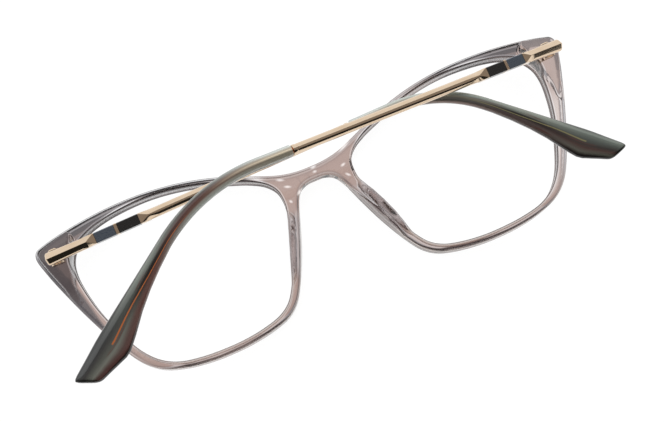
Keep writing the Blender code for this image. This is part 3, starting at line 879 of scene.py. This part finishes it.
def enamelFinish(shade):
    material, make = newFinish("enamel_" + shade)
    look = inlayLook[shade]
    spot = make.kept("place")
    speckle = make.noise(spot, inlayLook["speckleScale"])
    # painted highlight: lighter towards the inlay's upper edge
    rim = make.smooth(make.apart(spot, 2), *inlayLook["rim"])
    shader = make.node("ShaderNodeBsdfPrincipled", None, {
        "Base Color": make.blend(rim * inlayLook["upperHighlightShare"], look["colour"], look["edge"]),
        "Roughness": inlayLook["roughness"] + inlayLook["speckled"] * (speckle - 0.5),
        "Coat Weight": inlayLook["coat"], "Coat Roughness": inlayLook["coatRoughness"]})
    make.surface(shader)
    return material


gold = goldFinish("place")
enamels = {shade: enamelFinish(shade) for shade in ("blue", "black")}


def inlayRings(start, end):
    gap, edge = rodShape["inlayGap"], rodShape["inlayRound"]
    atEnds, inside = rodShape["inlayShrink"]
    return [barRing(u, 0, shrink=shrink) for u, shrink in (
        (start + gap, atEnds), (start + gap + edge, inside), (end - gap - edge, inside),
        (end - gap, atEnds))]


for sideName, side in sides:
    matrix = armMatrix(sideName, side)
    body = f"{sideName}_arm"
    rod = finished(f"gold_rod_{sideName}", armLoft(side, rodRings()), matrix, gold, 30)
    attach(rod, body)
    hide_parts(f"temple_rod_{sideName}")
    spans = {"blue": (rodShape["inlayStart"], rodShape["dividerMid"] - rodShape["dividerHalf"]),
             "black": (rodShape["dividerMid"] + rodShape["dividerHalf"], rodShape["inlayEnd"])}
    for shade, (start, end) in spans.items():
        piece = finished(f"enamel_{shade}_{sideName}", armLoft(side, inlayRings(start, end)),
                         matrix, enamels[shade], 30)
        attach(piece, body)
        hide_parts(f"inlay_{shade}_{sideName}")
print("rods and inlays built")


# tips, bent by hand to suit the ear
tipShape = {
    "start": 74.0, "count": 40, "gap": 1.2, "power": 0.8, "bulge": 0.2, "bulges": (62.0, 67.7),
    "left": {"at": 96.6, "angle": 41.5, "radius": 31.1},
    "right": {"at": 96.6, "angle": 35.0, "radius": 43.2},
}
# length from the start, lower edge, upper edge, thickness, slant of the end
tipSections = [
    (0.6, -1.1, 1.1, 2.0, 0.0), (0.68, -1.25, 1.25, 2.3, 0.0), (0.9, -1.34, 1.34, 2.45, 0.0),
    (12.0, -1.35, 1.35, 2.5, 0.0), (24.0, -1.4, 1.4, 2.6, 0.0), (35.6, -1.5, 1.4, 2.7, 0.0),
    (40.6, -1.9, 1.4, 2.7, 0.0), (45.1, -2.5, 1.4, 2.7, 0.0), (49.6, -3.4, 1.4, 2.7, 0.0),
    (54.2, -4.7, 1.4, 2.7, 0.0), (57.4, -5.45, 1.4, 2.7, 0.0), (59.5, -5.4, 1.35, 2.65, 0.1),
    (63.0, -4.75, 1.15, 2.6, 0.3), (66.6, -4.05, 0.97, 2.4, 0.56), (67.3, -3.85, 0.85, 2.2, 0.58),
    (67.6, -3.65, 0.7, 1.85, 0.58), (67.7, -3.4, 0.5, 1.4, 0.58),
]


def tipLine(sideName, length):
    bend = tipShape[sideName]
    angle = math.radians(bend["angle"])
    straight = bend["at"] - bend["radius"] * math.tan(angle / 2) - tipShape["start"]
    arc = bend["radius"] * angle
    if length <= straight:
        return tipShape["start"] + length, 0.0, 0.0
    turn = min((length - straight) / bend["radius"], angle)
    u = tipShape["start"] + straight + bend["radius"] * math.sin(turn)
    w = -bend["radius"] * (1 - math.cos(turn))
    beyond = max(length - straight - arc, 0.0)
    return u + beyond * math.cos(turn), w - beyond * math.sin(turn), turn


def tipRing(sideName, side, section, shape):
    # a ring round the tip's line, a circle where the shape's power is 1 and boxier below that
    length, low, high, thick, slant = section
    u, w, turn = tipLine(sideName, length)
    bulge = tipShape["bulge"] * sstep(length, *tipShape["bulges"])
    ring, places = [], []
    for k in range(shape["count"]):
        angle = 2 * math.pi * k / shape["count"]
        across = math.copysign(abs(math.sin(angle)) ** shape["power"], math.sin(angle))
        out = math.copysign(abs(math.cos(angle)) ** shape["power"], math.cos(angle)) * thick / 2
        rise = (high + low) / 2 + (high - low) / 2 * across
        on = slant * (rise - high) + bulge * (1 - across ** 4)
        du = on * math.cos(turn) + rise * math.sin(turn)
        dw = rise * math.cos(turn) - on * math.sin(turn)
        ring.append(armPoint(side, u + du, out, w + dw))
        places.append(Vector((length + on, (rise - low) / (high - low), out)))
    return ring, places


def denseSections(sections, gap):
    rows = [sections[0]]
    for here, after in zip(sections, sections[1:]):
        count = max(1, math.ceil((after[0] - here[0]) / gap))
        for k in range(1, count + 1):
            rows.append([a + (b - a) * k / count for a, b in zip(here, after)])
    return rows


tipLook = {
    "roughness": 0.08, "ior": 1.49, "coat": 0.3, "coatRoughness": 0.03,
    "swirlStretch": (0.07, 5.0, 0.6), "swirl": 0.14,
    # the painted shade over the rounded end, which leans with the tip's slant, and the reddish
    # streaks: mm along the tip
    "outline": colour(14, 14, 14), "endShadeSpan": (67.2, 67.6), "endShadeLean": 2.6,
    "endShadeShare": 0.85, "streak": colour(86, 50, 46), "streakSpan": (20, 40),
    "streakSwirl": (0.58, 0.7), "streakShare": 0.6,
    # the core's thin line, whose height and half width are shares of the tip's height
    "line": {"left": colour(124, 118, 84), "right": colour(176, 98, 52)},
    "lineStart": 26.0, "lineEnd": 58.5, "lineComesIn": 8, "lineGoesOut": 0.3,
    "lineHeight": 0.43, "lineRise": 0.14, "lineRises": (40.0, 54.0), "lineHalf": (0.012, 0.035),
    # how far along the tip, then its tones from the lower edge to the upper: marbled bands, with
    # painted shade as dark lines along its edges and a painted cream highlight band near the root
    "root": (3.0, tones(
        (0.0, 90, 90, 84), (0.08, 206, 206, 198), (0.2, 150, 146, 132), (0.42, 112, 106, 92),
        (0.56, 238, 224, 198), (0.68, 176, 166, 148), (0.86, 206, 212, 208), (0.97, 150, 156, 152))),
    "bands": {
        "left": [
            (25.0, tones((0.0, 120, 104, 96), (0.08, 150, 126, 116), (0.2, 84, 82, 78),
                         (0.42, 96, 94, 88), (0.55, 132, 128, 114), (0.7, 120, 128, 122),
                         (0.9, 162, 170, 160), (1.0, 60, 62, 58))),
            (42.0, tones((0.0, 40, 36, 36), (0.07, 96, 84, 80), (0.28, 74, 62, 60),
                         (0.4, 26, 24, 24), (0.55, 40, 40, 38), (0.66, 106, 112, 104),
                         (0.93, 134, 140, 130), (0.985, 20, 20, 20))),
            (60.0, tones((0.0, 14, 14, 14), (0.08, 30, 26, 26), (0.16, 88, 88, 80),
                         (0.34, 72, 52, 48), (0.48, 52, 48, 46), (0.66, 78, 84, 80),
                         (0.88, 114, 122, 114), (0.985, 16, 16, 16))),
        ],
        "right": [
            (25.0, tones((0.0, 120, 124, 118), (0.1, 176, 184, 176), (0.3, 140, 138, 130),
                         (0.42, 96, 72, 64), (0.66, 86, 56, 50), (0.84, 58, 46, 44),
                         (0.93, 120, 124, 118), (1.0, 40, 40, 38))),
            (42.0, tones((0.0, 34, 28, 28), (0.06, 118, 88, 80), (0.3, 92, 62, 56),
                         (0.42, 28, 22, 22), (0.6, 22, 20, 20), (0.72, 88, 94, 88),
                         (0.93, 124, 130, 122), (0.985, 20, 20, 20))),
            (60.0, tones((0.0, 14, 14, 14), (0.07, 22, 18, 18), (0.13, 88, 60, 56),
                         (0.25, 84, 66, 62), (0.42, 112, 114, 106), (0.55, 84, 86, 80),
                         (0.72, 54, 54, 54), (0.9, 66, 68, 68), (0.985, 16, 16, 16))),
        ],
    },
}


def tipFinish(sideName):
    # marbled in bands that run along the tip, with painted shade along its edges and end and a
    # painted highlight band near its root, and the core showing as a thin line
    look = tipLook
    material, make = newFinish("marbled_acetate_" + sideName)
    place = make.kept("place")
    length, height = make.apart(place, 0), make.apart(place, 1)
    stretched = make.node("ShaderNodeMapping", None, {0: place, 3: look["swirlStretch"]})
    swirl = make.noise(stretched, 1.0, Detail=3.0, Roughness=0.5, Distortion=0.5)
    across = height + look["swirl"] * (swirl - 0.5)
    before, stops = look["root"]
    tone = make.ramp(across, stops)
    for spot, stops in look["bands"][sideName]:
        tone = make.blend(make.smooth(length, before, spot), tone, make.ramp(across, stops))
        before = spot
    # painted shade over the tip's rounded end
    toEnd = length + look["endShadeLean"] * (1 - height)
    paintedEndShade = make.smooth(toEnd, *look["endShadeSpan"])
    tone = make.blend(paintedEndShade * look["endShadeShare"], tone, look["outline"])
    streaks = make.smooth(swirl, *look["streakSwirl"]) * make.smooth(length, *look["streakSpan"])
    tone = make.blend(streaks * look["streakShare"], tone, look["streak"])
    middle = look["lineHeight"] + look["lineRise"] * make.smooth(length, *look["lineRises"])
    thin = 1 - make.smooth(abs(height - middle), *look["lineHalf"])
    ends = make.smooth(length, look["lineStart"], look["lineStart"] + look["lineComesIn"]) * (
        1 - make.smooth(length, look["lineEnd"] - look["lineGoesOut"], look["lineEnd"]))
    tone = make.blend(thin * ends, tone, look["line"][sideName])
    shader = make.node("ShaderNodeBsdfPrincipled", None, {
        "Base Color": tone, "Roughness": look["roughness"], "IOR": look["ior"],
        "Coat Weight": look["coat"], "Coat Roughness": look["coatRoughness"]})
    make.surface(shader)
    return material


copperLook = {
    "colour": colour(214, 136, 84), "deep": colour(196, 112, 66), "roughness": 0.3,
    "drawn": 0.1, "drawnScale": 1500.0,
}


def copperFinish():
    material, make = newFinish("core_copper")
    drawn = make.noise(make.spot(), copperLook["drawnScale"])
    shader = make.node("ShaderNodeBsdfPrincipled", None, {
        "Base Color": make.blend(drawn, copperLook["colour"], copperLook["deep"]), "Metallic": 1.0,
        "Roughness": copperLook["roughness"] + copperLook["drawn"] * (drawn - 0.5)})
    make.surface(shader)
    return material


copper = copperFinish()
# thick and thin are radii, and the wire gets thin over the first part of its length
wireShape = {
    "start": 0.1, "end": 54.5, "thick": 0.62, "thin": 0.42, "thinParts": 3, "steps": 55,
    "count": 20, "power": 1.0,
}

for sideName, side in sides:
    matrix = armMatrix(sideName, side)
    body = f"{sideName}_arm"
    rings, places = zip(*[tipRing(sideName, side, section, tipShape)
                          for section in denseSections(tipSections, tipShape["gap"])])
    tip = finished(f"marbled_tip_{sideName}", loft(rings, places), matrix, tipFinish(sideName), 50)
    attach(tip, body)
    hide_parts(f"temple_tip_{sideName}")
    rings = []
    for k in range(wireShape["steps"] + 1):
        share = k / wireShape["steps"]
        length = mix(wireShape["start"], wireShape["end"], share)
        radius = mix(wireShape["thick"], wireShape["thin"], min(share * wireShape["thinParts"], 1))
        section = (length, -radius, radius, 2 * radius, 0.0)
        rings.append(tipRing(sideName, side, section, wireShape)[0])
    wire = finished(f"copper_core_{sideName}", loft(rings), matrix, copper, 50)
    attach(wire, body)
    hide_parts(f"core_wire_{sideName}")
print("tips and cores built")


# hinges keep their solids and take the gold finish
hingeGold = goldFinish("object")
for sideName, side in sides:
    for node in (f"front_hinge_{sideName}", f"hinge_screw_{sideName}", f"temple_hinge_{sideName}"):
        obj = frame["nodes"][node]
        obj.data.materials.clear()
        obj.data.materials.append(hingeGold)
print("hinges finished")


# camera
view = {
    "place": (28.347, 245.610, -61.231), "right": (-0.91344, 0.00473, -0.40697),
    "up": (-0.39127, 0.26504, 0.88129), "back": (0.11203, 0.96423, -0.24025), "lens": 56.676,
    "nearest": 0.01,
}
camera = bpy.data.objects.new("camera", bpy.data.cameras.new("camera"))
camera.data.lens = view["lens"]
camera.data.clip_start = view["nearest"]
axes = Matrix([view["right"], view["up"], view["back"]]).transposed().to_4x4()
camera.matrix_world = frontMatrix @ Matrix.Translation(Vector(view["place"]) * mm) @ axes
bpy.context.scene.collection.objects.link(camera)
bpy.context.scene.camera = camera


# studio
studio = {
    "floor": colour(250, 250, 250), "floorHalf": 1.5, "floorDrop": 0.0002, "floorGlow": 1.08,
    "floorShadow": 0.12, "sheet": 0.11, "sheetEnd": 0.18, "beyond": (0.25,) * 3,
    # the sky's tones, and where each begins and ends from one side of the room to the other
    "sky": [((1.0,) * 3, 0.0, 0.40), ((0.05,) * 3, 0.415, 0.445), ((0.30, 0.27, 0.25), 0.455, 0.74),
            ((0.02,) * 3, 0.77, 1.0)],
    "lamps": [
        {"place": (-0.25, -0.45, 0.35), "size": (0.5, 0.2), "power": 1.6},
        {"place": (0.45, 0.1, 0.4), "size": (0.2, 0.5), "power": 1.0},
        {"place": (-0.4, 0.45, 0.3), "size": (0.4, 0.25), "power": 0.7},
    ],
}


def floorFinish():
    # a white sheet on a darker bench: glass sees where the sheet ends
    material, make = newFinish("studio_floor")
    rays = [make.node("ShaderNodeLightPath", None, None, name)
            for name in ("Is Camera Ray", "Is Glossy Ray", "Is Transmission Ray")]
    away = make.node("ShaderNodeVectorMath", {"operation": "LENGTH"}, {0: make.spot()}, 1)
    bench = make.smooth(away, studio["sheet"], studio["sheetEnd"])
    tone = make.blend(bench, (1, 1, 1, 1), (*studio["beyond"], 1))
    plain = make.node("ShaderNodeBsdfDiffuse", None, {"Color": studio["floor"]})
    white = make.node("ShaderNodeEmission", None, {
        "Color": (1, 1, 1, 1), "Strength": studio["floorGlow"]})
    sheet = make.node("ShaderNodeEmission", None, {"Color": tone, "Strength": 1.0})
    mixed = make.node("ShaderNodeMixShader", None, {
        0: (rays[0] + rays[1]) * (1 - studio["floorShadow"]), 1: plain, 2: white})
    mixed = make.node("ShaderNodeMixShader", None, {0: rays[2], 1: mixed, 2: sheet})
    make.surface(mixed)
    return material


bm = bmesh.new()
bmesh.ops.create_grid(bm, x_segments=8, y_segments=8, size=studio["floorHalf"])
for vert in bm.verts:
    vert.co.z = -studio["floorDrop"]
floor = finished("floor", bm, Matrix.Identity(4), floorFinish(), 40, False)

world = bpy.data.worlds.new("studio")
bpy.context.scene.world = world
world.use_nodes = True
make = Finish(world.node_tree)
direction = make.node("ShaderNodeTexCoord", None, None, 0)
across = make.apart(direction, 1) * 0.5 + 0.5
sky = make.ramp(across, [(place, tone) for tone, *places in studio["sky"] for place in places])
isCamera = make.node("ShaderNodeLightPath", None, None, "Is Camera Ray")
sky = make.blend(isCamera, sky, (1, 1, 1, 1))
background = make.node("ShaderNodeBackground", None, {"Color": sky, "Strength": 1.0})
make.node("ShaderNodeOutputWorld", None, {0: background})

for number, lamp in enumerate(studio["lamps"]):
    light = bpy.data.lights.new(f"softbox_{number}", "AREA")
    light.shape = "RECTANGLE"
    light.size, light.size_y = lamp["size"]
    light.energy = lamp["power"]
    piece = bpy.data.objects.new(light.name, light)
    piece.location = lamp["place"]
    piece.rotation_euler = (-Vector(lamp["place"])).to_track_quat("-Z", "Y").to_euler()
    piece.visible_glossy = False
    piece.visible_transmission = False
    bpy.context.scene.collection.objects.link(piece)

bpy.context.scene.view_settings.view_transform = "Standard"
print("camera and studio set")
